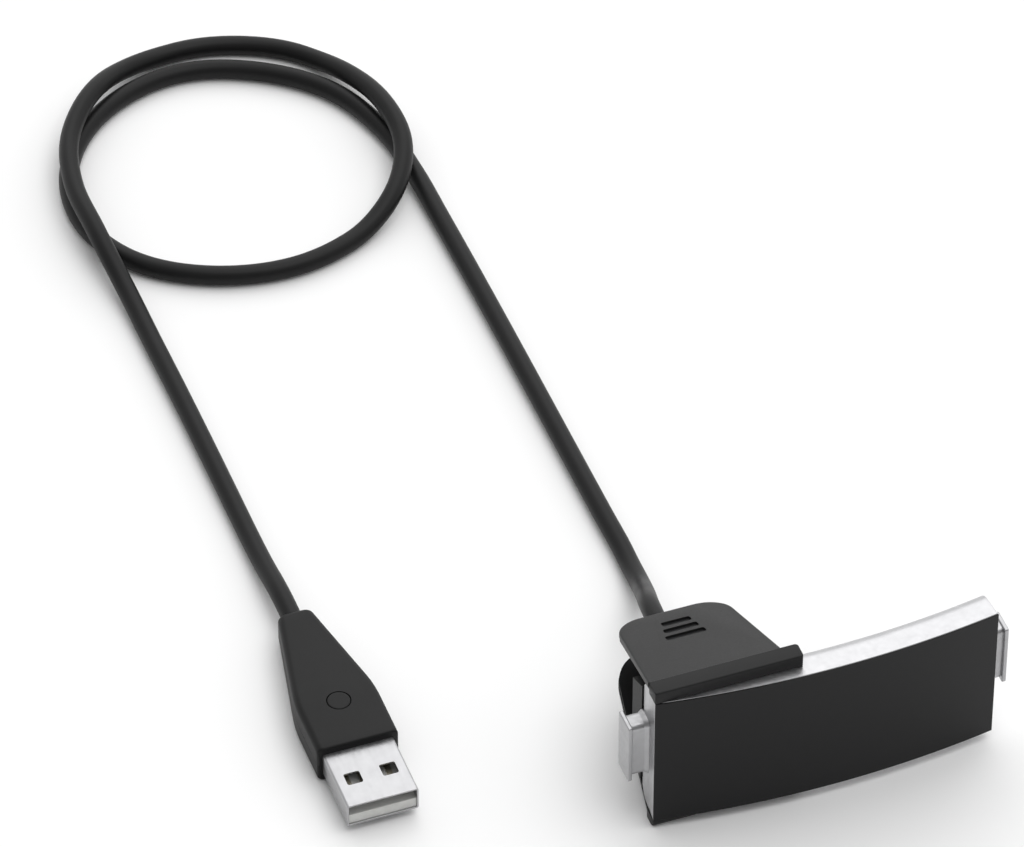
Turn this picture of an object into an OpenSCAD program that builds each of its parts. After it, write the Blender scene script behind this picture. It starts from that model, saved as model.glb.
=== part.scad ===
// Fitness tracker standing on edge in its spring charging clip, with the USB lead.
// +X runs along the tracker, +Y to the rear, +Z up. The tracker and clip are centred
// on the origin and stand on z = 0.

/* [Tracker] */
// Length of the tracker between its end faces
tracker_length = 58.2; // [50:0.1:66]
// Height of the tracker as it stands, which is its width on the wrist
tracker_height = 26.5; // [24:0.1:30]
// Radius of the curved glass front
glass_radius = 180; // [140:1:260]
// Thickness of the cover glass
glass_t = 1; // [0.8:0.1:1.4]
// Thickness from the glass front to the back
tracker_depth = 6.5; // [6:0.1:8]
// Radius of the long back edges
back_edge_r = 3; // [2:0.1:3.5]

/* [Strap lugs] */
// How far a lug stands out from the end face
lug_reach = 3.3; // [3:0.1:5]
// Height of the outer flange
lug_flange_h = 12; // [10:0.5:14]
// Depth of the flanges, front to rear
lug_depth = 4.5; // [3.6:0.1:4.6]
// Thickness of the outer flange
lug_flange_t = 0.7; // [0.5:0.1:1]

/* [Clip] */
// Length of the lips that hold the tracker
lip_length = 24.9; // [20:0.1:28]
// Depth of the lips, front to rear
lip_depth = 3; // [2.5:0.1:3.2]
// Thickness of the upper lip
upper_lip_t = 2.4; // [2:0.1:3]
// Thickness of the lower lip, which the clip stands on
lower_lip_t = 1.8; // [1.5:0.1:2.4]
// Slope of the levers, falling to the rear
lever_angle = 24; // [20:0.5:25]
// Rear end of the levers, measured from the tracker's end corner
lever_reach = 26.2; // [24:0.2:27]
// Opening angle of a lever
lever_open = 7; // [4:1:8]
// Radius of the hinge pins
pin_r = 0.75; // [0.6:0.05:0.9]

/* [Lead] */
// Diameter of the cord
cord_d = 3.4; // [3:0.1:3.8]
// Width of the plug's housing
plug_w = 13.8; // [13.4:0.1:15]
// Height of the plug's housing
plug_h = 7.3; // [7:0.1:9]
// Radius of the reset button
button_r = 1.9; // [1.5:0.1:2.2]
// Travel of the reset button
button_travel = 0.4; // [0.2:0.1:0.4]

/* [Hidden] */
$fa = 2;
$fs = 0.3;
gap = 0.05;                                          // between fitted pieces
run_fit = 0.03;                                      // radial running clearance
arc_fn = 256;                                        // facets on the large curves

// Tracker
half_len = tracker_length / 2;
arc_sag = glass_radius - sqrt(glass_radius * glass_radius - half_len * half_len);
corner_y = -11.5;                                    // the tracker's front end corners
arc_y = corner_y - arc_sag + glass_radius;           // axis of every curved face
tracker_z = lower_lip_t;
tracker_mid_z = tracker_z + tracker_height / 2;
back_r = glass_radius - tracker_depth;               // radius of the back face
glass_in_r = glass_radius - glass_t;
seal_t = 0.15;
case_front_r = glass_in_r - seal_t;
rim_w = 0.5;                                         // case rim round the glass's foot
rim_r = glass_radius - 0.3;                          // front of that rim
cavity_back_r = back_r + 1.5;                        // front of the case's back wall
case_wall = 1.4;
cavity_half = half_len - 1.7;
end_draft = 5;                                       // angle of the end faces, degrees
lug_mid_depth = 5.1;                                 // middle of a lug behind the corner
lug_screw_depth = 4.1;
lug_screw_r = 0.3;
lug_screw_head_r = 0.5;
window_margin = 4.2;                                 // case edge to the back opening

// Clip, from the tracker's left front corner
mid_z = (tracker_z + tracker_height + upper_lip_t) / 2;
half_h = mid_z;                                      // lever top face above mid height
block_left = 0.4;
block_right = 22.4;
clip_x = (block_left + block_right) / 2;
block_split_y = 7.7;
block_rear_y = 10.9;
boss_w = 11;
boss_h = 10.6;
exit_y = 14.2;                                       // rear face of the boss
hinge_y = 9.4;
hinge_rise = 7.25;                                   // hinge above mid height
cover_t = 1.1;
frame_t = 0.75;
block_drop = 3.3;                                    // block below the levers' top face
slope = tan(lever_angle);
groove_rear_y = 20.75;
groove_pitch = 2.6;
groove_w = 1.7;
groove_depth = 0.5;
lip_gap = 0.02;
knuckle_r = 1.6;
knuckle_w = 2.4;
knuckle_x = [3.4, 17];
spring_y = 12.4;
spring_foot = 3;                                     // spring seat above mid height
spring_top = 7.9;
spring_r = 1.3;
spring_wire_r = 0.2;
spring_turns = 5;
pogo_pitch = 3.2;
pogo_z = [for (i = [-1.5:1:1.5]) i * pogo_pitch];
pogo_r = 0.45;
barrel_r = 0.7;
board_half_h = 6;
gland_end_y = 19.7;

// Plug, from the middle of its tip on the surface
plug_x = -69;
plug_y = 4.3;
plug_mid_z = plug_h / 2;
plug_rear = 44.1;
plug_front = 12;
plug_shoulder = 23.5;
plug_rear_w = 5.6;
plug_rear_h = 5.6;
plug_edge_r = 1.25;
shell_w = 12;
shell_h = 4.5;
shell_t = 0.3;
shell_len = 18.75;
button_y = 21.4;
board_z = 2.65;
board_t = 0.8;

// Route of the lead: out of the clip, once and a half round the loop and into the plug
lay = cord_d / 2;                                    // lying on the surface
over = 1.5 * cord_d + 0.1;                           // lying on another strand
ROUTE = [
    [-17.7, 2.7, mid_z], [-17.7, 9, mid_z], [-17.7, 15, mid_z], [-17, 22, 13.9],
    [-14.8, 30, 8.5], [-12.8, 38, 3.2], [-12.2, 46, lay], [-12.3, 56, lay],
    [-13.2, 134, lay], [-13.5, 146, lay], [-15, 159, lay], [-20.5, 172, lay],
    [-28.5, 179.5, lay], [-44.5, 185, lay], [-60, 179.5, lay], [-71, 163, lay],
    [-71.3, 152.5, lay], [-67.5, 143.3, lay], [-50.5, 132, lay], [-39.5, 130.9, lay],
    [-29.5, 133.6, lay], [-18.5, 141.5, 4.2], [-14, 151, over], [-13.8, 162, over],
    [-16.3, 172.5, 3.5], [-21.5, 182, lay], [-31.5, 188.5, lay], [-42.5, 190.6, lay],
    [-52, 188.5, 2.6], [-60.5, 181.8, over], [-68, 171.5, over], [-71, 160, over],
    [-71, 147.5, over], [-69.8, 132.5, 2.4], [-69.4, 118, lay], [-69, 80, lay],
    [-69, 64, 2.3], [-69, 55, 3.6], [-69, 48, 3.65], [-69, 40.3, 3.65]
];
ring_step = 7.5;
cord_sides = 8;

// ---- Shared helpers ----

function unit(v) = v / norm(v);

// Direction of a path at point i, weighted by the lengths on either side
function heading(p, i) =
    i == 0 ? unit(p[1] - p[0])
    : i == len(p) - 1 ? unit(p[i] - p[i - 1])
    : let (a = p[i] - p[i - 1], b = p[i + 1] - p[i])
        unit(unit(a) * norm(b) + unit(b) * norm(a));

// The same, but level wherever the path lies on the surface
function lying_heading(p, i) =
    let (h = heading(p, i))
    p[i][2] > lay ? h : unit([h[0], h[1], 0]);

function hermite(p0, p1, t0, t1, u) =
    let (l = norm(p1 - p0))
    (2 * u * u * u - 3 * u * u + 1) * p0 + (u * u * u - 2 * u * u + u) * l * t0
    + (3 * u * u - 2 * u * u * u) * p1 + (u * u * u - u * u) * l * t1;

// Ring centres along a smooth curve through the route's points
function smooth_path(p, step) = [
    for (i = [0:len(p) - 2])
        let (n = max(1, round(norm(p[i + 1] - p[i]) / step)))
        for (j = [0:n - 1])
            hermite(p[i], p[i + 1], lying_heading(p, i), lying_heading(p, i + 1), j / n),
    p[len(p) - 1]
];

function helix(r, z0, z1, turns, per_turn) = [
    for (i = [0:turns * per_turn])
        let (a = 360 * i / per_turn)
        [r * cos(a), r * sin(a), z0 + (z1 - z0) * i / (turns * per_turn)]
];

// A round tube along a path that is never vertical
module tube(path, r, sides) {
    last = len(path) - 1;
    points = [
        for (i = [0:last])
            let (t = heading(path, i), s = unit(cross(t, [0, 0, 1])), w = cross(s, t))
            for (k = [0:sides - 1])
                let (a = 360 * (k + 0.5) / sides)
                path[i] + r * (cos(a) * s + sin(a) * w)
    ];
    sides_faces = [
        for (i = [0:last - 1])
            for (k = [0:sides - 1])
                let (m = (k + 1) % sides)
                [i * sides + k, i * sides + m, (i + 1) * sides + m, (i + 1) * sides + k]
    ];
    start_cap = [for (k = [sides - 1:-1:0]) k];
    end_cap = [for (k = [0:sides - 1]) last * sides + k];
    polyhedron(points, concat([start_cap], sides_faces, [end_cap]));
}

// A sector of a ring swept about the tracker's axis from a section in (radius, height)
module arc_sweep(half_angle) {
    translate([0, arc_y, tracker_z])
        rotate([0, 0, 270 - half_angle])
            rotate_extrude(angle = 2 * half_angle, $fn = arc_fn) children();
}

module arc_plate(r0, r1, z0, z1, half_angle) {
    arc_sweep(half_angle) translate([r0, z0]) square([r1 - r0, z1 - z0]);
}

// A cylinder whose axis points at the tracker's axis, at plan angle a
module arc_pin(r0, r1, radius, a, z) {
    translate([0, arc_y, z])
        rotate([0, 0, 270 + a])
            rotate([0, 90, 0])
                translate([0, 0, r0])
                    cylinder(r = radius, h = r1 - r0);
}

// The tracker's plan between its drafted ends, drawn in by edge
module end_trim(edge = 0) {
    back = tan(end_draft) * 9 + edge;
    front = tan(end_draft) * 3 - edge;
    translate([0, 0, tracker_z - 1])
        linear_extrude(tracker_height + 2)
            polygon([
                [-half_len - front, corner_y - 3], [half_len + front, corner_y - 3],
                [half_len - back, corner_y + 9], [-half_len + back, corner_y + 9]
            ]);
}

module from_corner() {
    translate([-half_len, corner_y, 0]) children();
}

// A cylinder along +Y
module rod_y(r, y0, y1) {
    translate([0, y0, 0]) rotate([-90, 0, 0]) cylinder(r = r, h = y1 - y0);
}

// A cylinder along +X
module rod_x(r, x0, x1) {
    translate([x0, 0, 0]) rotate([0, 90, 0]) cylinder(r = r, h = x1 - x0);
}

// ---- Tracker ----

// The case's section in (radius, height): flat front, rounded back edges
module case_section() {
    depth = rim_r - back_r;
    translate([back_r, 0]) intersection() {
        square([depth, tracker_height]);
        union() {
            translate([back_edge_r, 0]) square([depth, tracker_height]);
            translate([0, back_edge_r])
                square([depth, tracker_height - 2 * back_edge_r]);
            for (z = [back_edge_r, tracker_height - back_edge_r])
                translate([back_edge_r, z]) circle(back_edge_r);
        }
    }
}

module tracker_case() {
    color("silver") difference() {
        intersection() {
            arc_sweep(11) case_section();
            end_trim();
        }
        intersection() {
            arc_plate(case_front_r, glass_radius + 1, rim_w,
                      tracker_height - rim_w, 11);
            end_trim(rim_w);
        }
        intersection() {
            arc_plate(cavity_back_r, glass_radius, case_wall,
                      tracker_height - case_wall, 11);
            translate([-cavity_half, corner_y - 10, 0])
                cube([2 * cavity_half, 40, tracker_height + 5]);
        }
        arc_plate(back_r - 1, cavity_back_r + 0.5, window_margin - gap,
                  tracker_height - window_margin + gap, 8.05);
        for (side = [0, 1], z = [-3, 3])
            mirror([side, 0, 0])
                translate([0, lug_screw_y(), tracker_mid_z + z])
                    rod_x(lug_screw_r + run_fit, cavity_half - 1, half_len + 1);
    }
}

// A full front with a foot that stands in the case's rim
module front_glass() {
    color([0.17, 0.17, 0.18]) {
        intersection() {
            arc_plate(rim_r, glass_radius, 0, tracker_height, 11);
            end_trim();
        }
        intersection() {
            arc_plate(glass_in_r, rim_r + 0.1, rim_w + 0.02,
                      tracker_height - rim_w - 0.02, 11);
            end_trim(rim_w + 0.02);
        }
    }
}

module glass_seal() {
    color([0.05, 0.05, 0.05]) difference() {
        intersection() {
            arc_plate(case_front_r, glass_in_r, rim_w + 0.1,
                      tracker_height - rim_w - 0.1, 11);
            end_trim(rim_w + 0.1);
        }
        translate([-cavity_half, corner_y - 10, tracker_z + case_wall])
            cube([2 * cavity_half, 40, tracker_height - 2 * case_wall]);
    }
}

module display_panel() {
    color("darkslategray")
        arc_plate(case_front_r - 0.9, case_front_r - 0.1, 2.4, tracker_height - 2.4, 8);
}

module main_board() {
    color("green") arc_plate(case_front_r - 1.7, case_front_r - 1.1, 4, 22.5, 7.6);
}

module battery() {
    color("slateblue") arc_plate(cavity_back_r + 0.6, cavity_back_r + 2.1, 5, 21.5, 4.6);
}

module vibration_motor() {
    color("lightsteelblue")
        arc_pin(cavity_back_r + 0.6, cavity_back_r + 2.1, 2.5, 6.4, tracker_mid_z);
}

module back_cover() {
    color([0.2, 0.2, 0.21]) difference() {
        union() {
            arc_plate(back_r, cavity_back_r + 0.01, window_margin,
                      tracker_height - window_margin, 8);
            arc_plate(cavity_back_r, cavity_back_r + 0.5, window_margin - 0.9,
                      tracker_height - window_margin + 0.9, 8.3);
        }
        for (z = pogo_z)
            arc_pin(back_r - 1, cavity_back_r + 1, 1, -pad_angle(), mid_z + z);
    }
}

function pad_angle() = asin((half_len - clip_x) / back_r);

module charge_pads() {
    color("gold")
        for (z = pogo_z)
            arc_pin(back_r, cavity_back_r + 0.5, 1, -pad_angle(), mid_z + z);
}

function lug_y() = corner_y + lug_mid_depth;

function lug_screw_y() = corner_y + lug_screw_depth;

// An I-section lug standing out from the right end face
module lug() {
    neck_h = lug_flange_h - 1;
    neck_d = lug_depth - 1;
    face = half_len - 0.4;
    difference() {
        union() {
            translate([face, lug_y() - lug_depth / 2, tracker_mid_z - lug_flange_h / 2])
                cube([0.8, lug_depth, lug_flange_h]);
            translate([face, lug_y() - neck_d / 2, tracker_mid_z - neck_h / 2])
                cube([lug_reach + 0.4 - 0.1, neck_d, neck_h]);
            translate([half_len + lug_reach - lug_flange_t, lug_y() - lug_depth / 2,
                       tracker_mid_z - lug_flange_h / 2])
                cube([lug_flange_t, lug_depth, lug_flange_h]);
        }
        for (z = [-3, 3])
            translate([0, lug_screw_y(), tracker_mid_z + z])
                rod_x(lug_screw_r, cavity_half, half_len + 1.7);
    }
}

// The lug without what would stand inside the drafted end of the case
module fitted_lug() {
    difference() {
        lug();
        intersection() {
            arc_sweep(11) case_section();
            end_trim();
        }
    }
}

module right_lug() {
    color("lightgray") fitted_lug();
}

module left_lug() {
    color("lightgray") mirror([1, 0, 0]) fitted_lug();
}

module lug_screws() {
    color("dimgray")
        for (side = [0, 1], z = [-3, 3])
            mirror([side, 0, 0])
                translate([0, lug_screw_y(), tracker_mid_z + z]) {
                    rod_x(lug_screw_r, cavity_half - 0.3, half_len + 1.7);
                    rod_x(lug_screw_head_r, cavity_half - 0.6, cavity_half - 0.01);
                }
}

// ---- Clip ----

// Height above mid height of a face that lies drop below the lever's top, at y
function lever_h(y, drop) = half_h - drop - slope * (y - lip_depth);

// Side section of a sloping layer of a lever, pulled out along X
module lever_layer(points) {
    translate([-5, 0, 0])
        rotate([90, 0, 90])
            linear_extrude(40) polygon(points);
}

// Plan of a lever, drawn in by edge
module lever_plan(edge) {
    corner = 5;
    linear_extrude(20) hull() {
        translate([edge, 2]) square([22.2 - 2 * edge, 1]);
        for (x = [-4.1, 5])
            translate([clip_x + x, lever_reach - corner])
                circle(corner - edge, $fn = 32);
    }
}

module lip(t) {
    r = 1.2;
    translate([0, 0, half_h - t]) linear_extrude(t) {
        square([lip_length - r, lip_depth]);
        translate([0, r]) square([lip_length, lip_depth - 2 * r]);
        for (y = [r, lip_depth - r])
            translate([lip_length - r, y]) circle(r);
    }
}

// Three grooves across the lever, the rearmost the shortest
module grip_grooves() {
    for (i = [0:2])
        let (y = groove_rear_y - groove_pitch * i, length = 4.9 + 0.9 * i)
            translate([clip_x + 0.4 - 0.2 * i - length / 2, y, lever_h(y, groove_depth)])
                rotate([-lever_angle, 0, 0]) cube([length, groove_w, 2]);
}

module lever_cover(lip_t) {
    drop = cover_t + 0.08;
    difference() {
        union() {
            lip(lip_t);
            intersection() {
                lever_layer([
                    [2, half_h - drop], [2, half_h], [lip_depth, half_h],
                    [lever_reach + 1, lever_h(lever_reach + 1, 0)],
                    [lever_reach + 1, lever_h(lever_reach + 1, cover_t)],
                    [lip_depth + 0.2, half_h - drop]
                ]);
                lever_plan(0);
            }
        }
        grip_grooves();
    }
}

// The layer under a cover, from front to the rear, with its knuckles and spring boss
module lever_frame(front) {
    notch_w = 6;
    bottom = cover_t + frame_t;
    difference() {
        union() {
            intersection() {
                lever_layer([
                    [front, lever_h(front, cover_t)],
                    [lever_reach, lever_h(lever_reach, cover_t)],
                    [lever_reach, lever_h(lever_reach, bottom)],
                    [front, lever_h(front, bottom)]
                ]);
                lever_plan(0.1);
            }
            for (x = knuckle_x)
                translate([x, hinge_y, hinge_rise]) {
                    rod_x(knuckle_r, 0, knuckle_w);
                    translate([0, -knuckle_r, 0])
                        cube([knuckle_w, 2 * knuckle_r,
                              lever_h(hinge_y, bottom) - hinge_rise]);
                }
            translate([clip_x, spring_y, spring_top])
                cylinder(r = 1.6, h = lever_h(spring_y, bottom) - spring_top);
        }
        translate([0, hinge_y, hinge_rise]) rod_x(pin_r + run_fit, -2, 30);
        translate([clip_x - notch_w / 2, 15, 0]) cube([notch_w, 20, 30]);
    }
}

module above_middle() {
    from_corner() translate([0, 0, mid_z]) children();
}

module below_middle() {
    from_corner() translate([0, 0, mid_z]) mirror([0, 0, 1]) children();
}

module upper_lever_cover() {
    color([0.2, 0.2, 0.21]) above_middle() lever_cover(upper_lip_t - lip_gap);
}

module lower_lever_cover() {
    color([0.2, 0.2, 0.21]) below_middle() lever_cover(lower_lip_t - lip_gap);
}

module upper_lever_frame() {
    color([0.15, 0.15, 0.16]) above_middle() lever_frame(3.3);
}

module lower_lever_frame() {
    color([0.15, 0.15, 0.16]) below_middle() lever_frame(6.3);
}

module hinge_pin() {
    translate([0, hinge_y, hinge_rise]) rod_x(pin_r, 1.6, block_right - 0.1);
}

module upper_hinge_pin() {
    color("lightsteelblue") above_middle() hinge_pin();
}

module lower_hinge_pin() {
    color("lightsteelblue") below_middle() hinge_pin();
}

module coil() {
    translate([clip_x, spring_y, 0])
        tube(helix(spring_r, spring_foot + spring_wire_r + 0.02,
                   spring_top - spring_wire_r - 0.02, spring_turns, 12),
             spring_wire_r, 6);
}

module upper_spring() {
    color("silver") above_middle() coil();
}

module lower_spring() {
    color("silver") below_middle() coil();
}

// Everything behind the tracker's back, less a little
module behind_tracker() {
    translate([0, arc_y, -1]) cylinder(r = back_r - 0.3, h = 40, $fn = arc_fn);
}

// The block's sloping side section between y0 and y1, pulled out along X
module block_layer(y0, y1) {
    translate([-half_len + block_left, corner_y, mid_z])
        rotate([90, 0, 90])
            linear_extrude(block_right - block_left)
                polygon([
                    [y0, -lever_h(y0, block_drop)], [y1, -lever_h(y1, block_drop)],
                    [y1, lever_h(y1, block_drop)], [y0, lever_h(y0, block_drop)]
                ]);
}

module block_face() {
    color([0.22, 0.22, 0.23]) difference() {
        intersection() {
            block_layer(4, block_split_y);
            behind_tracker();
        }
        above_middle() {
            for (z = pogo_z)
                translate([clip_x, 0, z]) rod_y(barrel_r, 3, block_split_y + 1);
            for (x = [2.4, 20.4])
                translate([x, 0, 0]) rod_y(0.5, block_split_y - 0.6, block_split_y + 1);
        }
    }
}

module block_body() {
    slot_w = knuckle_w + 0.3;
    slot_foot = hinge_rise - knuckle_r - 0.2;
    color([0.2, 0.2, 0.21]) difference() {
        union() {
            block_layer(block_split_y, block_rear_y);
            above_middle()
                translate([clip_x - boss_w / 2, block_rear_y - 1, -boss_h / 2])
                    cube([boss_w, exit_y - block_rear_y + 1, boss_h]);
        }
        above_middle() {
            for (side = [0, 1])
                mirror([0, 0, side]) {
                    translate([0, hinge_y, hinge_rise]) rod_x(pin_r, 1.6, 30);
                    for (x = knuckle_x)
                        translate([x - 0.15, block_split_y - 1, slot_foot])
                            cube([slot_w, 10, 20]);
                    translate([clip_x, spring_y, spring_foot])
                        cylinder(r = 1.7, h = 20);
                }
            translate([clip_x - 5, block_split_y - 1, -board_half_h])
                cube([10, 1.8, 2 * board_half_h]);
            translate([clip_x, 0, 0]) {
                rod_y(cord_d / 2, block_split_y, exit_y + 1);
                rod_y(2.7, 12.7, exit_y + 1);
            }
            for (x = [2.4, 20.4])
                translate([x, 0, 0]) {
                    rod_y(0.5, 5, 20);
                    rod_y(0.9, block_rear_y - 0.7, 20);
                }
        }
    }
}

module block_screws() {
    color("dimgray") above_middle()
        for (x = [2.4, 20.4])
            translate([x, 0, 0]) {
                rod_y(0.5, block_split_y - 0.6, block_rear_y - 0.3);
                rod_y(0.9, block_rear_y - 0.7, block_rear_y - 0.1);
            }
}

module contact_board() {
    color("green") above_middle()
        translate([clip_x - 4.9, block_split_y, -board_half_h + 0.1])
            cube([9.8, 0.8, 2 * board_half_h - 0.2]);
}

module pogo_barrels() {
    color("gold") above_middle()
        for (z = pogo_z)
            translate([clip_x, 0, z]) difference() {
                rod_y(barrel_r, 5.5, block_split_y);
                rod_y(pogo_r + run_fit, 5, block_split_y - 0.25);
            }
}

// A round-nosed plunger that just clears its pad
module pogo_plunger(i) {
    tip = arc_y - corner_y + gap
        - sqrt(back_r * back_r - (half_len - clip_x) * (half_len - clip_x));
    color("goldenrod") above_middle()
        translate([clip_x, 0, pogo_z[i]]) {
            rod_y(pogo_r, tip + pogo_r, tip + 1.8);
            translate([0, tip + pogo_r, 0]) sphere(pogo_r);
        }
}

module pogo_plunger_1() {
    pogo_plunger(0);
}

module pogo_plunger_2() {
    pogo_plunger(1);
}

module pogo_plunger_3() {
    pogo_plunger(2);
}

module pogo_plunger_4() {
    pogo_plunger(3);
}

// ---- Lead ----

module cord_gland() {
    color([0.12, 0.12, 0.12]) above_middle() translate([clip_x, 0, 0]) difference() {
        union() {
            rod_y(2.7, 12.7, exit_y);
            translate([0, exit_y, 0]) rotate([-90, 0, 0])
                cylinder(r1 = 2.7, r2 = 2.15, h = gland_end_y - exit_y);
        }
        rod_y(cord_d / 2 + 0.02, 12, gland_end_y + 1);
    }
}

module leads(y0, y1) {
    for (x = [-0.5, 0.5], z = [-0.5, 0.5])
        translate([x, 0, z]) rod_y(0.4, y0, y1);
}

module clip_leads() {
    color("red") above_middle() translate([clip_x, 0, 0])
        leads(block_split_y + 0.8, ROUTE[0][1] - corner_y);
}

module cord() {
    color([0.13, 0.13, 0.13])
        tube(smooth_path(ROUTE, ring_step), cord_d / 2, cord_sides);
}

module plug_frame() {
    translate([plug_x, plug_y, 0]) children();
}

// One end or shoulder of the housing: a thin slab with rounded corners, on edge
module plug_station(y, w, h) {
    for (x = [-1, 1], z = [-1, 1])
        translate([x * (w / 2 - plug_edge_r), y,
                   plug_mid_z + z * (h / 2 - plug_edge_r)])
            sphere(plug_edge_r, $fn = 24);
}

module plug_outer() {
    hull() {
        plug_station(plug_front + plug_edge_r, plug_w, plug_h);
        plug_station(plug_shoulder, plug_w, plug_h);
        plug_station(plug_rear - plug_edge_r, plug_rear_w, plug_rear_h);
    }
}

module plug_hollow() {
    translate([0, 0, plug_mid_z]) {
        translate([-shell_w / 2, plug_front - 1, -shell_h / 2])
            cube([shell_w, shell_len + 1 - plug_front, shell_h]);
        translate([-5.2, shell_len - 0.1, -2.4]) cube([10.4, 6.3, 4.8]);
        translate([-3, 24, -1.9]) cube([6, 10, 3.8]);
        rod_y(cord_d / 2 + 0.05, 33, 60);
        rod_y(2.2, 36.5, 39);
    }
}

module plug_half(low) {
    difference() {
        intersection() {
            plug_outer();
            translate([-20, 0, low ? -1 : plug_mid_z])
                cube([40, 60, low ? plug_mid_z + 1 : 20]);
        }
        plug_hollow();
        if (!low)
            translate([0, button_y, plug_mid_z]) cylinder(r = button_r + gap, h = 10);
    }
}

module plug_upper_shell() {
    color([0.2, 0.2, 0.2]) plug_frame() plug_half(false);
}

module plug_lower_shell() {
    color([0.18, 0.18, 0.18]) plug_frame() plug_half(true);
}

module reset_button() {
    color([0.22, 0.22, 0.22]) plug_frame() translate([0, button_y, 0]) {
        translate([0, 0, plug_h - 1.6]) cylinder(r = button_r, h = 1.6);
        translate([0, 0, plug_h - 1.9]) cylinder(r = button_r + 0.35, h = 0.4);
    }
}

module plug_board() {
    color("green") plug_frame()
        translate([-2.9, shell_len + 0.1, board_z]) cube([5.8, 14.4, board_t]);
}

module reset_switch() {
    color("gray") plug_frame() translate([0, button_y, board_z + board_t]) {
        translate([-1.5, -1.5, 0]) cube([3, 3, 1.1]);
        cylinder(r = 0.8, h = 1.45);
    }
}

module usb_shell() {
    color("silver") plug_frame() difference() {
        translate([-shell_w / 2, 0, plug_mid_z - shell_h / 2])
            cube([shell_w, shell_len, shell_h]);
        translate([-shell_w / 2 + shell_t, -1, plug_mid_z - shell_h / 2 + shell_t])
            cube([shell_w - 2 * shell_t, shell_len + 2, shell_h - 2 * shell_t]);
        for (x = [-3, 3])
            translate([x - 1.3, 4.45, -1]) cube([2.6, 2.5, 12]);
    }
}

module usb_tongue() {
    color("white") plug_frame()
        translate([-shell_w / 2 + shell_t, 0.3, plug_mid_z - shell_h / 2 + shell_t])
            cube([shell_w - 2 * shell_t, 16.5, 1.84]);
}

module usb_contacts() {
    color("gold") plug_frame()
        for (x = [-3.5, -1, 1, 3.5])
            translate([x - 0.5, 2.3, plug_mid_z - shell_h / 2 + shell_t + 1.84])
                cube([1, 14.2, 0.1]);
}

module plug_leads() {
    color("red") plug_frame() translate([0, 0, plug_mid_z])
        leads(shell_len + 14.5, ROUTE[len(ROUTE) - 1][1] - plug_y);
}

module cord_crimp() {
    color("silver") plug_frame() translate([0, 0, plug_mid_z]) difference() {
        rod_y(2.15, 36.6, 38.9);
        rod_y(cord_d / 2, 36, 40);
    }
}

tracker_case();
front_glass();
glass_seal();
display_panel();
main_board();
battery();
vibration_motor();
back_cover();
charge_pads();
left_lug();
right_lug();
lug_screws();
block_face();
block_body();
block_screws();
contact_board();
pogo_barrels();
pogo_plunger_1();
pogo_plunger_2();
pogo_plunger_3();
pogo_plunger_4();
upper_lever_cover();
upper_lever_frame();
lower_lever_cover();
lower_lever_frame();
upper_hinge_pin();
lower_hinge_pin();
upper_spring();
lower_spring();
cord_gland();
clip_leads();
cord();
plug_upper_shell();
plug_lower_shell();
plug_board();
reset_switch();
reset_button();
usb_shell();
usb_tongue();
usb_contacts();
plug_leads();
cord_crimp();
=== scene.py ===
import math

import bmesh
import bpy
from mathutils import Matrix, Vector


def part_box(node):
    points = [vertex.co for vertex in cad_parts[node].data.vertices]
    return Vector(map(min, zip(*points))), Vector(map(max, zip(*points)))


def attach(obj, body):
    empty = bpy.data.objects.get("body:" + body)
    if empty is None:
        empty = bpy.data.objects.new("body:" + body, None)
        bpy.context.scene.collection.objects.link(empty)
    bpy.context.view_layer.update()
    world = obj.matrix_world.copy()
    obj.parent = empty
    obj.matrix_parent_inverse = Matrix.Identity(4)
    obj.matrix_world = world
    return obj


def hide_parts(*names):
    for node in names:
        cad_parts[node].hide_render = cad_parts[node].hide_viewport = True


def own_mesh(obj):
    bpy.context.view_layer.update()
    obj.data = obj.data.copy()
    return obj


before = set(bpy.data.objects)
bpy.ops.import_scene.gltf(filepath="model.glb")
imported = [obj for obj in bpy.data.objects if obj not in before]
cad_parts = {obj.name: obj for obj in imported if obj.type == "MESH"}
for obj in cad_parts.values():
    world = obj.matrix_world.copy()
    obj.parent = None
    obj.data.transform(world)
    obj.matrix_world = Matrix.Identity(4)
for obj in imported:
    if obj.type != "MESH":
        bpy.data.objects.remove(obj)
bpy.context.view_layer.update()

MM = 0.001


# ---------------------------------------------------------------- mesh helpers

def box_mm(node):
    """Lowest and highest corner of a CAD node, in millimetres."""
    low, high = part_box(node)
    return Vector(low) / MM, Vector(high) / MM


def place(obj, material, body, replaces=()):
    """Gives a finished object its material and body, and hides the nodes it stands for."""
    obj.data.materials.clear()
    obj.data.materials.append(material)
    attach(obj, body)
    if replaces:
        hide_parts(*replaces)


def mesh_object(name, verts, faces, sharp=35):
    """A mesh from points in millimetres, smooth but for edges over the sharp angle."""
    mesh = bpy.data.meshes.new(name)
    mesh.from_pydata([Vector(v) * MM for v in verts], [], faces)
    bm = bmesh.new()
    bm.from_mesh(mesh)
    bmesh.ops.remove_doubles(bm, verts=bm.verts, dist=1e-7)
    bmesh.ops.recalc_face_normals(bm, faces=bm.faces)
    bm.to_mesh(mesh)
    bm.free()
    shade(mesh, sharp)
    obj = bpy.data.objects.new(name, mesh)
    bpy.context.scene.collection.objects.link(obj)
    return obj


def shade(mesh, sharp=35):
    for polygon in mesh.polygons:
        polygon.use_smooth = True
    mesh.set_sharp_from_angle(angle=math.radians(sharp))


def soften(obj, width, segments=3, angle=40):
    """Rounds the edges that are sharper than the angle."""
    bevel = obj.modifiers.new("edges", "BEVEL")
    bevel.width = width * MM
    bevel.segments = segments
    bevel.limit_method = "ANGLE"
    bevel.angle_limit = math.radians(angle)
    bevel.harden_normals = True
    bevel.miter_outer = "MITER_ARC"
    return obj


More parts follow.
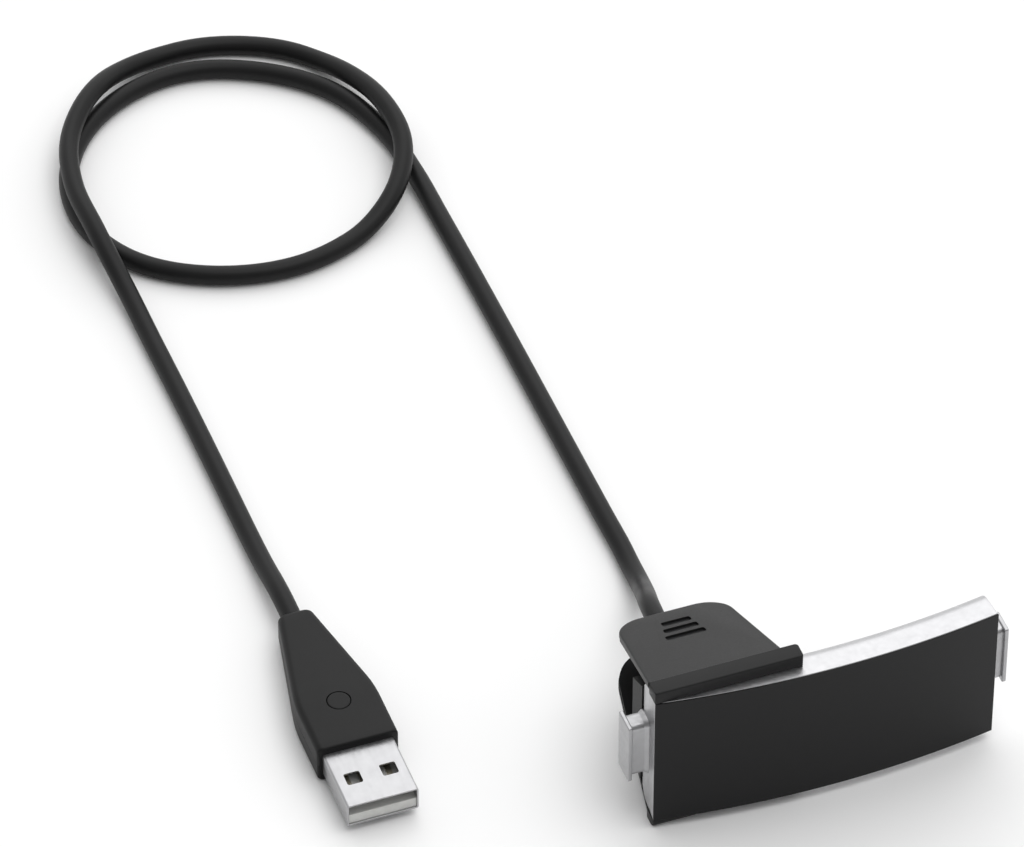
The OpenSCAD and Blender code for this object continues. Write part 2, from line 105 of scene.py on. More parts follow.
def cut(obj, cutter):
    """Takes the cutter out of the object for good, and drops the cutter."""
    boolean = obj.modifiers.new("cut", "BOOLEAN")
    boolean.operation = "DIFFERENCE"
    boolean.solver = "EXACT"
    boolean.object = cutter
    graph = bpy.context.evaluated_depsgraph_get()
    result = bpy.data.meshes.new_from_object(obj.evaluated_get(graph))
    obj.modifiers.remove(boolean)
    obj.data = result
    shade(result)
    bpy.data.objects.remove(cutter)


def band_faces(rings, n, skip=()):
    """Faces between rings of n points, without the (ring, side) pairs in skip."""
    return [(i * n + k, i * n + (k + 1) % n, (i + 1) * n + (k + 1) % n, (i + 1) * n + k)
            for i in range(rings - 1) for k in range(n) if (i, k) not in skip]


def cap_faces(rings, n):
    """The faces that close the first and the last ring."""
    last = (rings - 1) * n
    return [tuple(range(n - 1, -1, -1)), tuple(range(last, last + n))]


def loft(name, rings, sharp=35, caps=True):
    """A skin over closed rings that have the same number of points."""
    n = len(rings[0])
    faces = band_faces(len(rings), n)
    if caps:
        faces += cap_faces(len(rings), n)
    return mesh_object(name, [p for ring in rings for p in ring], faces, sharp)


def arc_points(centre, radius, start, end, count):
    """Points along an arc in a plane, angles in degrees."""
    return [
        (centre[0] + radius * math.cos(math.radians(start + (end - start) * i / count)),
         centre[1] + radius * math.sin(math.radians(start + (end - start) * i / count)))
        for i in range(count + 1)
    ]


def rounded_rect(w, h, r, count=6):
    """Corner-rounded rectangle about the origin, counter-clockwise."""
    r = min(r, w / 2 - 0.001, h / 2 - 0.001)
    points = []
    for sx, sy, start in ((1, -1, -90), (1, 1, 0), (-1, 1, 90), (-1, -1, 180)):
        centre = (sx * (w / 2 - r), sy * (h / 2 - r))
        points += arc_points(centre, r, start, start + 90, count)
    return points


def rounding(radius, count):
    """Stations along a rounded end: (distance from the end, how far the outline draws in)."""
    return [(radius * (1 - math.cos(a)), radius * (1 - math.sin(a)))
            for a in [math.radians(90 * i / count) for i in range(count + 1)]]


def circle(centre, u, v, radius, sides):
    """Points round a circle in the plane of the unit vectors u and v."""
    return [centre + radius * (u * math.cos(a) + v * math.sin(a))
            for a in [2 * math.pi * k / sides for k in range(sides)]]


def turned(name, x, y, profile, sharp=35):
    """A solid turned about an upright axis, from (radius, z) up or down its side."""
    return loft(name, [circle(Vector((x, y, z)), Vector((1, 0, 0)), Vector((0, 1, 0)), r, 64)
                       for r, z in profile], sharp)


# ---------------------------------------------------------------- camera

AZIMUTH = math.radians(-20)
ELEVATION = math.radians(44)
DISTANCE = 1.280
TARGET = Vector((-0.01846, 0.08333, 0))

camera_data = bpy.data.cameras.new("camera")
camera_data.sensor_width = 36
camera_data.lens = 268.2
camera_data.clip_end = 20
camera = bpy.data.objects.new("camera", camera_data)
bpy.context.scene.collection.objects.link(camera)
camera.location = TARGET + DISTANCE * Vector((
    math.sin(AZIMUTH) * math.cos(ELEVATION),
    -math.cos(AZIMUTH) * math.cos(ELEVATION),
    math.sin(ELEVATION)))
camera.rotation_euler = (math.pi / 2 - ELEVATION, 0, AZIMUTH)
bpy.context.scene.camera = camera


# ---------------------------------------------------------------- materials

class Material:
    """A Principled material with its nodes to hand."""

    def __init__(self, name, color, rough, metallic=0.0, specular=0.5):
        self.material = bpy.data.materials.new(name)
        self.material.use_nodes = True
        self.tree = self.material.node_tree
        self.shader = self.tree.nodes["Principled BSDF"]
        self.shader.inputs["Base Color"].default_value = (*color, 1)
        self.shader.inputs["Roughness"].default_value = rough
        self.shader.inputs["Metallic"].default_value = metallic
        self.shader.inputs["Specular IOR Level"].default_value = specular
        self.coords = self.tree.nodes.new("ShaderNodeTexCoord")

    def link(self, a, b):
        self.tree.links.new(a, b)

    def noise(self, scale, detail, stretch=(1, 1, 1)):
        """Noise in the object's own space; scale is features per metre."""
        mapping = self.tree.nodes.new("ShaderNodeMapping")
        mapping.inputs["Scale"].default_value = stretch
        self.link(self.coords.outputs["Object"], mapping.inputs["Vector"])
        noise = self.tree.nodes.new("ShaderNodeTexNoise")
        noise.inputs["Scale"].default_value = scale
        noise.inputs["Detail"].default_value = detail
        self.link(mapping.outputs["Vector"], noise.inputs["Vector"])
        return noise.outputs["Fac"]

    def spread(self, value, low, high):
        """Maps the middle of a 0 to 1 pattern onto low to high."""
        node = self.tree.nodes.new("ShaderNodeMapRange")
        node.inputs["From Min"].default_value = 0.3
        node.inputs["From Max"].default_value = 0.7
        node.inputs["To Min"].default_value = low
        node.inputs["To Max"].default_value = high
        self.link(value, node.inputs["Value"])
        return node.outputs["Result"]

    def tint(self, value, low, high):
        """Colour that varies between two shades with a pattern."""
        ramp = self.tree.nodes.new("ShaderNodeValToRGB")
        ramp.color_ramp.elements[0].position = 0.3
        ramp.color_ramp.elements[1].position = 0.7
        ramp.color_ramp.elements[0].color = (*low, 1)
        ramp.color_ramp.elements[1].color = (*high, 1)
        self.link(value, ramp.inputs["Fac"])
        self.link(ramp.outputs["Color"], self.shader.inputs["Base Color"])

    def rough(self, value, low, high):
        self.link(self.spread(value, low, high), self.shader.inputs["Roughness"])

    def bump(self, value, strength, height):
        """Relief from a pattern; height is in metres."""
        node = self.tree.nodes.new("ShaderNodeBump")
        node.inputs["Strength"].default_value = strength
        node.inputs["Distance"].default_value = height
        self.link(value, node.inputs["Height"])
        self.link(node.outputs["Normal"], self.shader.inputs["Normal"])


def grey(level):
    """A grey with a trace of blue."""
    return (level, level, level * 1.02)


def moulded(name, level, rough, specular=0.4, grain=9000, strength=0.15):
    """Black moulded plastic: fine spark-eroded grain and slow changes of gloss."""
    m = Material(name, grey(level), rough, specular=specular)
    m.tint(m.noise(350, 2), grey(level * 0.94), grey(level * 1.06))
    m.rough(m.noise(2500, 3), rough - 0.02, rough + 0.02)
    m.bump(m.noise(grain, 2), strength, 0.00001)
    return m.material


def satin_metal(name, level, rough, grain=6000, stretch=(1, 1, 1), strength=0.12):
    """Metal with a fine finish; a stretch under 1 draws the grain out along that axis."""
    m = Material(name, grey(level), rough, metallic=1.0)
    m.tint(m.noise(500, 2), grey(level * 0.96), grey(level * 1.03))
    m.rough(m.noise(1500, 3, stretch), rough - 0.06, rough + 0.06)
    m.bump(m.noise(grain, 2, stretch), strength, 0.000008)
    return m.material


def black_glass():
    m = Material("black_glass", (0.006, 0.006, 0.0065), 0.16, specular=0.2)
    m.rough(m.noise(200, 2), 0.14, 0.18)
    m.bump(m.noise(60, 1), 0.03, 0.00001)
    return m.material


def plain_plastic(name, low, high, rough):
    """Coloured plastic that varies between two shades."""
    m = Material(name, low, rough)
    m.tint(m.noise(700, 2), low, high)
    m.rough(m.noise(1800, 2), rough - 0.06, rough + 0.06)
    m.bump(m.noise(7000, 2), 0.15, 0.00001)
    return m.material


def plated(name, low, high, rough):
    """Plating that varies between two shades."""
    m = Material(name, low, rough, metallic=1.0)
    m.tint(m.noise(900, 2), low, high)
    m.rough(m.noise(2500, 2), rough - 0.05, rough + 0.05)
    m.bump(m.noise(5000, 2), 0.1, 0.000006)
    return m.material


clip_plastic = moulded("clip_plastic", 0.009, 0.44, 0.22)
plug_plastic = moulded("plug_plastic", 0.007, 0.5, 0.22)
back_plastic = moulded("back_plastic", 0.02, 0.5)
cord_jacket = moulded("cord_jacket", 0.009, 0.45, 0.2, 5000, 0.04)
seal_rubber = moulded("seal_rubber", 0.009, 0.6, 0.3)
glass = black_glass()
case_metal = satin_metal("case_metal", 0.50, 0.36, strength=0.04)
# The lugs' metal is the case metal made darker: painted shade, standing in for the dim
# reflections on the lugs' faces.
lug_metal = satin_metal("lug_metal", 0.40, 0.34, 2500, strength=0.02)
shell_metal = satin_metal("shell_metal", 0.43, 0.34, 9000, (1, 0.15, 1), 0.03)
pin_steel = satin_metal("pin_steel", 0.55, 0.3, 8000, (0.2, 1, 1), 0.1)
gold = plated("gold", (0.78, 0.56, 0.22), (0.86, 0.66, 0.30), 0.25)
contact_plating = plated("contact_plating", (0.80, 0.74, 0.60), (0.85, 0.79, 0.65), 0.5)
tongue_plastic = plain_plastic("tongue_plastic", (0.60, 0.60, 0.58), (0.66, 0.66, 0.64), 0.4)
board_green = plain_plastic("board_green", (0.01, 0.09, 0.03), (0.015, 0.12, 0.045), 0.35)
foil = satin_metal("foil", 0.6, 0.4, 3000)
wire_red = plain_plastic("wire_red", (0.30, 0.02, 0.015), (0.36, 0.03, 0.02), 0.45)


# ---------------------------------------------------------------- cord

CORD_D = 3.4
CORD_SIDES = 28
LAY = CORD_D / 2                    # height of the cord's middle on the surface
OVER = 1.5 * CORD_D + 0.1           # and where it crosses itself
MID_Z = 15.35                       # and where it leaves the clip
LEVEL_WITHIN = 0.001
ROUTE = [
    (-17.7, 2.7, MID_Z), (-17.7, 9, MID_Z), (-17.7, 15, MID_Z), (-17, 22, 13.9),
    (-14.8, 30, 8.5), (-12.8, 38, 3.2), (-12.2, 46, LAY), (-12.3, 56, LAY),
    (-13.2, 134, LAY), (-13.5, 146, LAY), (-15, 159, LAY), (-20.5, 172, LAY),
    (-28.5, 179.5, LAY), (-44.5, 185, LAY), (-60, 179.5, LAY), (-71, 163, LAY),
    (-71.3, 152.5, LAY), (-67.5, 143.3, LAY), (-50.5, 132, LAY), (-39.5, 130.9, LAY),
    (-29.5, 133.6, LAY), (-18.5, 141.5, 4.2), (-14, 151, OVER), (-13.8, 162, OVER),
    (-16.3, 172.5, 3.5), (-21.5, 182, LAY), (-31.5, 188.5, LAY), (-42.5, 190.6, LAY),
    (-52, 188.5, 2.6), (-60.5, 181.8, OVER), (-68, 171.5, OVER), (-71, 160, OVER),
    (-71, 147.5, OVER), (-69.8, 132.5, 2.4), (-69.4, 118, LAY), (-69, 80, LAY),
    (-69, 64, 2.3), (-69, 55, 3.6), (-69, 48, 3.65), (-69, 40.3, 3.65),
]


def heading(points, i):
    """Direction of the route at point i; level where the cord lies on the surface."""
    if i == 0:
        return (points[1] - points[0]).normalized()
    if i == len(points) - 1:
        return (points[i] - points[i - 1]).normalized()
    a, b = points[i] - points[i - 1], points[i + 1] - points[i]
    h = a.normalized() * b.length + b.normalized() * a.length
    if points[i].z < LAY + LEVEL_WITHIN:
        h.z = 0
    return h.normalized()


def hermite(p0, p1, t0, t1, u):
    """The point a share u of the way from p0 to p1 on a curve with headings t0 and t1."""
    span = (p1 - p0).length
    return ((2 * u ** 3 - 3 * u ** 2 + 1) * p0 + (u ** 3 - 2 * u ** 2 + u) * span * t0
            + (3 * u ** 2 - 2 * u ** 3) * p1 + (u ** 3 - u ** 2) * span * t1)


def smooth_path(route, step):
    """Points along a smooth curve through the route's own points."""
    points = [Vector(p) for p in route]
    path = []
    for i in range(len(points) - 1):
        count = max(1, round((points[i + 1] - points[i]).length / step))
        path += [hermite(points[i], points[i + 1], heading(points, i),
                         heading(points, i + 1), j / count) for j in range(count)]
    return path + [points[-1]]


def tube_rings(path, radius, sides):
    """Rings square to a path that never runs straight up."""
    rings = []
    for i, centre in enumerate(path):
        w = (path[min(i + 1, len(path) - 1)] - path[max(i - 1, 0)]).normalized()
        u = w.cross(Vector((0, 0, 1))).normalized()
        rings.append(circle(centre, u, u.cross(w), radius, sides))
    return rings


cord_path = smooth_path(ROUTE, 1.5)
cord = loft("cord_jacket", tube_rings(cord_path, CORD_D / 2, CORD_SIDES), sharp=60)
place(cord, cord_jacket, "clip", ["cord"])


# ---------------------------------------------------------------- tracker

GLASS_R = 180.0
GLASS_T = 1.0
GLASS_EDGE_T = 0.3                  # the slab in front of the case's rim
SEAL_T = 0.15
DEPTH = 6.5
BACK_EDGE_R = 3.0
DRAFT = math.tan(math.radians(5))
HALF = 29.1
EDGE_BREAK = 0.08
case_low, case_high = box_mm("tracker_case")
TRACKER_Z = case_low.z
HEIGHT = case_high.z - case_low.z
ARC_Y = box_mm("front_glass")[0].y + GLASS_R
CORNER_Y = ARC_Y - math.sqrt(GLASS_R ** 2 - HALF ** 2)
BACK_R = GLASS_R - DEPTH
CASE_FRONT_R = GLASS_R - GLASS_T - SEAL_T
RIM_W = 0.5
RIM_R = GLASS_R - GLASS_EDGE_T
FOOT_INSET = RIM_W + 0.02
FOOT_R = RIM_R + 0.05
WINDOW_ANGLE = math.radians(8.05)
WINDOW_MARGIN = 4.15
WINDOW_DEPTH = 1.5
END_R = 0.16


def end_angle(r, edge=0.0):
    """Angle at which a curve of radius r meets the drafted end, drawn in by edge."""
    angle = math.asin(HALF / r)
    for _ in range(6):
        y = ARC_Y - r * math.cos(angle)
        angle = math.asin((HALF - edge - DRAFT * (y - CORNER_Y)) / r)
    return angle


def on_arc(r, z, share, edge):
    """A point at radius r and height z, share -1 to 1 of the way to the ends."""
    angle = share * end_angle(r, edge)
    return Vector((r * math.sin(angle), ARC_Y - r * math.cos(angle), TRACKER_Z + z))


def arc_slab(name, section, edge):
    """Sweeps a section in (radius, height) along the tracker to its drafted ends."""
    stations = 64
    shares = [-1 + 2 * i / stations for i in range(stations + 1)]
    return loft(name, [[on_arc(r, z, s, edge) for r, z in section] for s in shares])


def case_section():
    """Up the front, with the recess for the glass, then down the back's rounded edges."""
    top, r, rim, trim = HEIGHT, BACK_EDGE_R, RIM_W, EDGE_BREAK
    centre = BACK_R + r
    section = [(RIM_R - trim, 0), (RIM_R, trim), (RIM_R, rim), (CASE_FRONT_R, rim)]
    section += [(CASE_FRONT_R, top - rim), (RIM_R, top - rim), (RIM_R, top - trim),
                (RIM_R - trim, top)]
    section += arc_points((centre, top - r), r, 90, 180, 10)
    section += arc_points((centre, r), r, 180, 270, 10)
    return section


def slab_section(front_r, back_r, low, high):
    return [(front_r, low), (front_r, high), (back_r, high), (back_r, low)]


cover = arc_slab("cover_glass", slab_section(GLASS_R, RIM_R, 0, HEIGHT), 0)
soften(cover, EDGE_BREAK)
foot = arc_slab("cover_glass_foot", slab_section(FOOT_R, GLASS_R - GLASS_T, FOOT_INSET,
                                                 HEIGHT - FOOT_INSET), FOOT_INSET)
place(foot, glass, "tracker")
place(cover, glass, "tracker", ["front_glass"])


def drawn_in(section, d):
    """The case's section made smaller by d at its faces."""
    return [(min(max(r, BACK_R + d), RIM_R - d), min(max(z, d), HEIGHT - d))
            for r, z in section]


def tracker_case():
    """The case's skin: rounded ends, a rim round the glass and the back's window."""
    share = WINDOW_ANGLE / end_angle(BACK_R)
    section = case_section()
    first = next(i for i, (r, z) in enumerate(section) if abs(r - BACK_R) < 1e-6)
    section[first + 1:first + 1] = [(BACK_R, HEIGHT - WINDOW_MARGIN), (BACK_R, WINDOW_MARGIN)]
    closed = [(RIM_R if r == CASE_FRONT_R else r, z) for r, z in section]
    ends = [(1, edge, drawn_in(closed, inset)) for edge, inset in rounding(END_R, 3)]
    ends += [(1, RIM_W, closed), (1, RIM_W, section), ((1 + share) / 2, 0, section)]
    stations = [(-s, edge, points) for s, edge, points in ends]
    stations += [(share * (-1 + 2 * i / 40), 0, section) for i in range(41)]
    stations += ends[::-1]
    n, skip = len(section), len(ends)
    rings = [[on_arc(r, z, s, edge) for r, z in points] for s, edge, points in stations]
    verts = [p for ring in rings for p in ring]
    last = len(rings) - skip - 1
    faces = band_faces(len(rings), n, {(i, first + 1) for i in range(skip, last)})
    faces += cap_faces(len(rings), n)
    rim = [i * n + first + 1 for i in range(skip, last + 1)]
    rim += [i * n + first + 2 for i in range(last, skip - 1, -1)]
    start = len(verts)
    for v in rim:
        p = verts[v]
        out = Vector((p.x, p.y - ARC_Y, 0)).normalized()
        verts.append(p + out * WINDOW_DEPTH)
    for i in range(len(rim)):
        j = (i + 1) % len(rim)
        faces.append((rim[i], rim[j], start + j, start + i))
    return mesh_object("case_shell", verts, faces, 30)


place(tracker_case(), case_metal, "tracker", ["tracker_case"])


FLANGE_T = 0.7
NECK_R = 1.1
FLARE, FLARE_H = 0.75, 0.5


def lug(side):
    """A T-shaped strap lug: a neck that flares into the case, and an outer flange."""
    name = "left_lug" if side < 0 else "right_lug"
    low, high = box_mm(name)
    tip = max(abs(low.x), abs(high.x))
    mid_y, mid_z = (low.y + high.y) / 2, (low.z + high.z) / 2
    depth, height = high.y - low.y, high.z - low.z
    base = HALF - DRAFT * (mid_y - CORNER_Y)
    inner = tip - FLANGE_T
    neck_d, neck_h = depth - 1.0, height - 0.7

    def ring(x, d, h, r):
        return [Vector((side * x, mid_y + y, mid_z + z)) for y, z in rounded_rect(d, h, r)]

    rings = [ring(base - 0.3, neck_d + 0.8, neck_h + FLARE_H, NECK_R)]
    for i in range(7):
        out = math.sin(math.radians(90 * i / 6))
        rings.append(ring(base + 0.1 + FLARE * out, neck_d + FLARE * (1 - out),
                          neck_h + FLARE_H * (1 - out), NECK_R))
    rings.append(ring(inner + 0.1, neck_d, neck_h, NECK_R))
    neck = loft(name + "_neck", rings, 30)
    place(neck, lug_metal, "tracker", [name])
    flange = loft(name + "_flange", [ring(x, depth, height, 0.35) for x in (inner, tip)])
    soften(flange, 0.16, 3, 50)
    place(flange, lug_metal, "tracker")


for side in (-1, 1):
    lug(side)


# ---------------------------------------------------------------- clip

cover_low, cover_high = box_mm("upper_lever_cover")
CLIP_MID_Z = (cover_high.z + box_mm("lower_lever_cover")[0].z) / 2
HALF_H = cover_high.z - CLIP_MID_Z
LIP_DEPTH = 3.0
LIP_LENGTH = cover_high.x + HALF
LEVER_REACH = cover_high.y - CORNER_Y
SLOPE = math.tan(math.radians(24))
CLIP_X = 11.4
COVER_T = 1.1
COVER_STEP = 0.12                   # the cover's top below the lip's
COVER_RIM = 0.3
REAR_R = 5.0
LEVER_FRONT_Y = 2.9
LEVER_RIGHT = 22.2
REAR_LEFT_X, REAR_RIGHT_X = CLIP_X - 4.1, CLIP_X + 5
GROOVE_W, GROOVE_DEPTH, GROOVE_PITCH = 1.7, 0.5, 2.6


def clip_point(x, y, z, up):
    """A point measured from the tracker's end corner, on the upper or lower lever."""
    return Vector((x - HALF, CORNER_Y + y, CLIP_MID_Z + up * z))


def lever_z(y, drop=0.0):
    """Height of the cover's slope above the middle, drop below the lip's top."""
    return HALF_H - drop - SLOPE * (y - LIP_DEPTH)


def lever_outline(inset, left):
    """Plan of a lever: straight front, flaring sides and two large rear corners."""
    rear_y, radius = LEVER_REACH - REAR_R, REAR_R - inset
    sides = []
    for front_x, centre_x, turn in ((LEVER_RIGHT - inset, REAR_RIGHT_X, 1),
                                    (left + inset, REAR_LEFT_X, -1)):
        dx, dy = front_x - centre_x, LEVER_FRONT_Y - rear_y
        away = math.degrees(math.atan2(dy, dx)) % 360
        touch = away + turn * math.degrees(math.acos(radius / math.hypot(dx, dy)))
        touch -= 360 if turn > 0 else 0
        corner = arc_points((centre_x, rear_y), radius, touch, 90, 14)
        sides.append([(front_x, LEVER_FRONT_Y)] + corner)
    return sides[0] + sides[1][::-1]


def lever_plate(name, up, left):
    """The sloping cover plate with a rounded rim, a little below the lip's top."""
    levels = [(COVER_T, 0.0)]
    levels += [(COVER_STEP + drop, inset) for inset, drop in rounding(COVER_RIM, 5)]
    return loft(name, [[clip_point(x, y, lever_z(y, drop), up)
                        for x, y in lever_outline(inset, left)] for drop, inset in levels], 30)


def grip_groove(i, up):
    """Cutter for a groove square to the slope; they are longer towards the front."""
    x, y, length = CLIP_X + 0.4 - 0.2 * i, 21.6 - GROOVE_PITCH * i, 4.9 + 0.9 * i
    tilt = math.atan(SLOPE)
    rings = []
    for lift in (-GROOVE_DEPTH, 1.0):
        rings.append([clip_point(x + a, y + b * math.cos(tilt) + lift * math.sin(tilt),
                                 lever_z(y) - b * math.sin(tilt) + lift * math.cos(tilt), up)
                      for a, b in rounded_rect(length, GROOVE_W, 0.45, 4)])
    return loft("groove", rings)


def corner_cut(radius, distance):
    """How far a rounded corner draws in at that distance from the end."""
    if distance >= radius:
        return 0.0
    return radius - math.sqrt(radius ** 2 - (radius - distance) ** 2)


def lip_bar(name, up, thickness, front_edge_r):
    """The straight bar that grips the tracker's edge, with its corners rounded."""
    left_r, rear_r, front_r, foot_r, top_r = 0.25, 0.55, 0.3, 0.15, 0.3
    half_d, top, bottom = LIP_DEPTH / 2, HALF_H, HALF_H - thickness
    outline = []
    for y, z, edge_r, start in ((half_d, bottom, foot_r, -90), (half_d, top, top_r, 0),
                                (-half_d, top, front_edge_r, 90),
                                (-half_d, bottom, foot_r, 180)):
        centre = (y - math.copysign(edge_r, y), z - (edge_r if z == top else -edge_r))
        outline += arc_points(centre, edge_r, start, start + 90, 6)
    stations = [0, 0.04, 0.12, left_r, 0.6, 8, 16, LIP_LENGTH - rear_r]
    stations += [LIP_LENGTH - rear_r + rear_r * math.sin(math.radians(a))
                 for a in (15, 30, 45, 60, 75, 90)]
    rings = []
    for x in stations:
        left_cut = corner_cut(left_r, x)
        y0 = left_cut + corner_cut(front_r, LIP_LENGTH - x)
        y1 = LIP_DEPTH - left_cut - corner_cut(rear_r, LIP_LENGTH - x)
        rings.append([clip_point(x, y0 + (y / LIP_DEPTH + 0.5) * (y1 - y0), z, up)
                      for y, z in outline])
    return loft(name, rings, 50)


def lever(side_name, up, left, lip_t, lip_front_r):
    """A lever's cover, with its three grooves, and its lip."""
    body = side_name + "_lever"
    plate = lever_plate(body + "_plate", up, left)
    for i in range(3):
        cut(plate, grip_groove(i, up))
    soften(plate, 0.07, 2, 60)
    place(plate, clip_plastic, body, [body + "_cover"])
    lip = lip_bar(side_name + "_lip", up, lip_t, lip_front_r)
    place(lip, clip_plastic, body)


lever("upper", 1, left=-0.15, lip_t=2.38, lip_front_r=0.3)
lever("lower", -1, left=0.2, lip_t=1.78, lip_front_r=1.1)


def spring(side_name, up):
    """Coil spring of steel wire, wound to fill the spring's box."""
    low, high = box_mm(side_name + "_spring")
    middle = (low + high) / 2
    wire_r, turns, steps = 0.2, 5, 24
    count = turns * steps
    radius = (high.x - low.x) / 2 - wire_r
    rise = (high.z - low.z - 2 * wire_r) / count
    path = []
    for i in range(count + 1):
        turn = 2 * math.pi * i / steps
        path.append(Vector((middle.x + radius * math.cos(turn),
                            middle.y + radius * math.sin(turn), low.z + wire_r + rise * i)))
    obj = loft(side_name + "_spring_coil", tube_rings(path, wire_r, 10), 60)
    place(obj, pin_steel, "clip", [side_name + "_spring"])
    middle.z = low.z if up > 0 else high.z
    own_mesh(obj)


spring("upper", 1)
spring("lower", -1)


# ---------------------------------------------------------------- plug

shell_low, shell_high = box_mm("usb_shell")
housing_low, housing_high = box_mm("plug_upper_shell")
PLUG_X = (shell_low.x + shell_high.x) / 2
PLUG_Z = (shell_low.z + shell_high.z) / 2
PLUG_W = housing_high.x - housing_low.x
PLUG_H = 2 * (housing_high.z - PLUG_Z)
PLUG_FRONT, PLUG_REAR = housing_low.y, housing_high.y
PLUG_TOP = PLUG_Z + PLUG_H / 2
PLUG_EDGE_R = 1.15
SHOULDER = PLUG_FRONT + 11.5
SHOULDER_BLEND = 2.5
REAR_W, REAR_H = 5.6, 5.6
FRONT_ROUND, REAR_ROUND = 0.45, 1.2
BUTTON_Y = (box_mm("reset_button")[0].y + box_mm("reset_button")[1].y) / 2
BUTTON_R = 1.9
BORE_R = BUTTON_R + 0.14


def plug_size(y):
    """Width and height of the housing at y: straight to the shoulder, then tapering."""
    length, past = PLUG_REAR - SHOULDER, y - SHOULDER
    share = past / length
    if past < SHOULDER_BLEND:
        share = max(0.0, past + SHOULDER_BLEND) ** 2 / (4 * SHOULDER_BLEND) / length
    return PLUG_W + (REAR_W - PLUG_W) * share, PLUG_H + (REAR_H - PLUG_H) * share


def half_section(w, h, r, up):
    """Upper or lower half of the housing's section, from one seam edge to the other."""
    seam = 0.05
    points = [(w / 2 - seam, 0.0), (w / 2, seam)]
    points += arc_points((w / 2 - r, h / 2 - r), r, 0, 90, 7)
    points += arc_points((-w / 2 + r, h / 2 - r), r, 90, 180, 7)
    points += [(-w / 2, seam), (-w / 2 + seam, 0.0)]
    return [(x, up * z) for x, z in points]


def plug_half(name, up):
    """One shell of the housing, with both ends rounded."""
    stations = [(PLUG_FRONT + along, inset) for along, inset in rounding(FRONT_ROUND, 5)]
    y = PLUG_FRONT + 1.5
    while y < PLUG_REAR - 1.6:
        stations.append((y, 0.0))
        y += 1.0
    stations += [(PLUG_REAR - along, inset)
                 for along, inset in reversed(rounding(REAR_ROUND, 6))]
    rings = []
    for y, inset in stations:
        w, h = (size - 2 * inset for size in plug_size(y))
        rings.append([Vector((PLUG_X + a, y, PLUG_Z + b))
                      for a, b in half_section(w, h, min(PLUG_EDGE_R, h / 2 - 0.2), up)])
    return loft(name, rings, 40)


upper_housing = plug_half("plug_upper_housing", 1)
lower_housing = plug_half("plug_lower_housing", -1)
cut(upper_housing, turned("bore", PLUG_X, BUTTON_Y,
                          [(BORE_R, PLUG_TOP - 0.9), (BORE_R, PLUG_TOP + 1)]))
soften(upper_housing, 0.06, 2, 55)
place(upper_housing, plug_plastic, "clip", ["plug_upper_shell"])
place(lower_housing, plug_plastic, "clip", ["plug_lower_shell"])


def button():
    """The button's cap, level with the housing, with its top edge rounded."""
    profile = [(BUTTON_R, -1.6), (BUTTON_R, -0.12), (BUTTON_R - 0.03, -0.05),
               (BUTTON_R - 0.1, -0.01), (BUTTON_R - 0.3, 0), (0.6, 0), (0.1, 0)]
    return turned("reset_button_cap", PLUG_X, BUTTON_Y,
                  [(r, PLUG_TOP + z) for r, z in profile], 40)


button_cap = button()
place(button_cap, plug_plastic, "reset_button", ["reset_button"])


SHEET_T = 0.3
LATCH_X, LATCH_Y = 3, 5.7
LATCH_W, LATCH_L = 2.6, 2.5


def usb_shell():
    """Folded sheet-metal shell with two latch windows on each face."""
    w, h = shell_high.x - shell_low.x, shell_high.z - shell_low.z
    front, rear = shell_low.y, shell_high.y
    outer = rounded_rect(w, h, 0.42, 5)
    inner = rounded_rect(w - 2 * SHEET_T, h - 2 * SHEET_T, 0.2, 5)

    def ring(points, y):
        return [Vector((PLUG_X + a, y, PLUG_Z + b)) for a, b in points]

    rings = [ring(outer, front), ring(outer, rear), ring(inner, rear), ring(inner, front),
             ring(outer, front)]
    obj = loft("usb_plug_shell", rings, 30, caps=False)
    for x in (-LATCH_X, LATCH_X):
        window = rounded_rect(LATCH_W, LATCH_L, 0.35, 4)
        cutter = [[Vector((PLUG_X + x + a, front + LATCH_Y + b, z)) for a, b in window]
                  for z in (PLUG_Z - h, PLUG_Z + h)]
        cut(obj, loft("window", cutter))
    return soften(obj, 0.06, 2, 40)


shell = usb_shell()
place(shell, shell_metal, "clip", ["usb_shell"])


# ---------------------------------------------------------------- carried-over nodes

FINISH = {
    clip_plastic: ["upper_lever_frame", "lower_lever_frame"],
    # The contact block takes the darker plug plastic instead of the clip's: painted shade for
    # its sides between the levers.
    plug_plastic: ["block_face", "block_body"],
    back_plastic: ["back_cover"],
    seal_rubber: ["glass_seal", "cord_gland"],
    pin_steel: ["upper_hinge_pin", "lower_hinge_pin", "lug_screws", "block_screws",
                "cord_crimp", "reset_switch", "vibration_motor"],
    gold: ["charge_pads", "pogo_barrels", "pogo_plunger_1", "pogo_plunger_2",
           "pogo_plunger_3", "pogo_plunger_4"],
    contact_plating: ["usb_contacts"],
    glass: ["display_panel"],
    board_green: ["main_board", "contact_board", "plug_board"],
    foil: ["battery"],
    tongue_plastic: ["usb_tongue"],
    wire_red: ["clip_leads", "plug_leads"],
}
EDGES = {"block_face": 0.2, "block_body": 0.2, "upper_lever_frame": 0.12,
         "lower_lever_frame": 0.12, "back_cover": 0.12, "cord_gland": 0.15,
         "usb_tongue": 0.1, "charge_pads": 0.05}
for material, nodes in FINISH.items():
    for node in nodes:
        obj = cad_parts[node]
        obj.data.materials.clear()
        obj.data.materials.append(material)
        shade(obj.data, 30)
        if node in EDGES:
            soften(obj, EDGES[node], 3, 35)

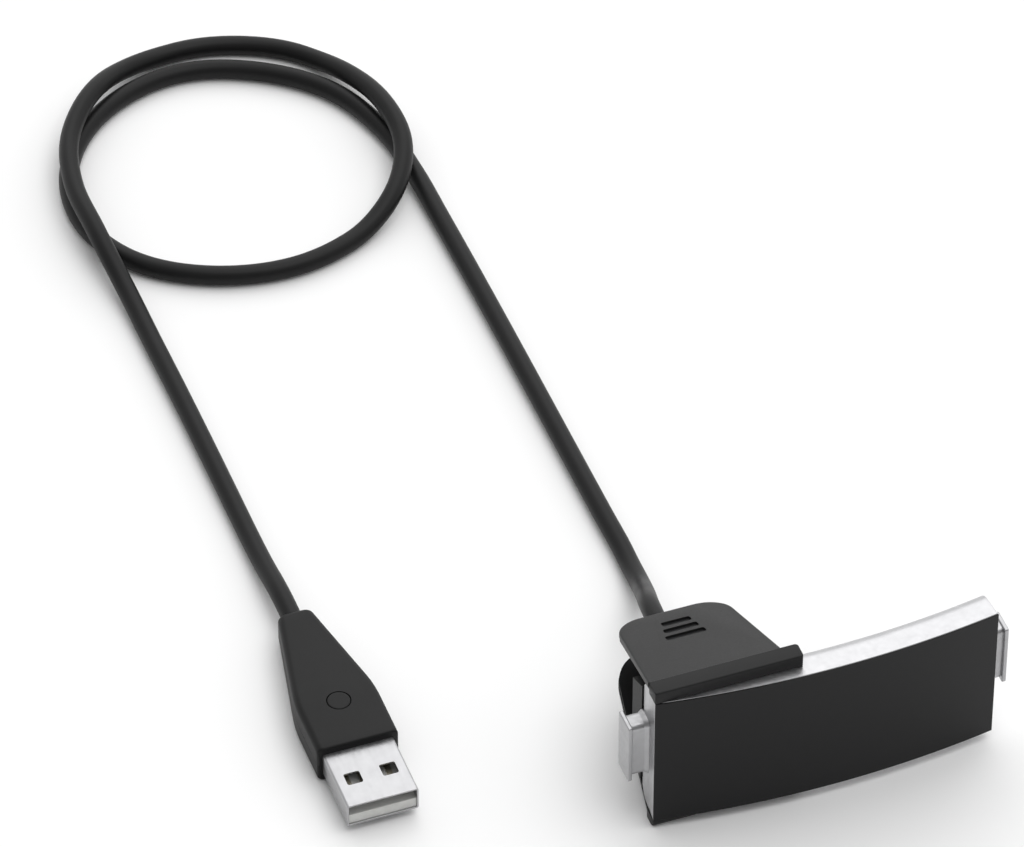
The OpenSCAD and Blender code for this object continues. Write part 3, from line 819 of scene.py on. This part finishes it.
plug_pieces = [upper_housing, lower_housing, shell, button_cap]
plug_pieces += [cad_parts[n] for n in (
    "usb_tongue", "usb_contacts", "plug_board", "reset_switch", "plug_leads", "cord_crimp")]


# ---------------------------------------------------------------- floor and light

def floor():
    """A plain pale floor, three metres each way from the middle."""
    size = 3000
    obj = mesh_object("floor", [(-size, -size, 0), (size, -size, 0), (size, size, 0),
                                (-size, size, 0)], [(0, 1, 2, 3)])
    m = Material("floor", (0.95, 0.95, 0.95), 0.9, specular=0.1)
    m.tint(m.noise(3, 2), (0.945, 0.945, 0.945), (0.955, 0.955, 0.955))
    obj.data.materials.append(m.material)


def area_light(name, where, size, power):
    """A soft light aimed at the middle of the object."""
    data = bpy.data.lights.new(name, "AREA")
    data.shape = "RECTANGLE"
    data.size, data.size_y = size
    data.energy = power
    obj = bpy.data.objects.new(name, data)
    obj.location = where
    aim = Vector((0, 0.06, 0)) - Vector(where)
    obj.rotation_euler = aim.to_track_quat("-Z", "Y").to_euler()
    bpy.context.scene.collection.objects.link(obj)


def studio():
    """A white dome, brightest behind to the right and dimmest in front to the left."""
    world = bpy.data.worlds.new("studio")
    bpy.context.scene.world = world
    world.use_nodes = True
    tree = world.node_tree
    background = tree.nodes["Background"]
    coords = tree.nodes.new("ShaderNodeTexCoord")
    facing = tree.nodes.new("ShaderNodeVectorMath")
    facing.operation = "DOT_PRODUCT"
    facing.inputs[1].default_value = (0.62, 0.78, 0)
    tree.links.new(coords.outputs["Generated"], facing.inputs[0])
    level = tree.nodes.new("ShaderNodeMapRange")
    level.interpolation_type = "SMOOTHSTEP"
    level.inputs["From Min"].default_value = -0.8
    level.inputs["From Max"].default_value = 0.7
    level.inputs["To Min"].default_value = 0.3
    level.inputs["To Max"].default_value = 1.05
    tree.links.new(facing.outputs["Value"], level.inputs["Value"])
    tree.links.new(level.outputs["Result"], background.inputs["Strength"])
    background.inputs["Color"].default_value = (1, 1, 1, 1)


floor()
studio()
area_light("key", (0.40, 1.05, 1.25), (1.4, 1.4), 6)
area_light("top", (0.3, -0.2, 1.6), (1.2, 1.2), 9)
bpy.context.scene.view_settings.view_transform = "Standard"
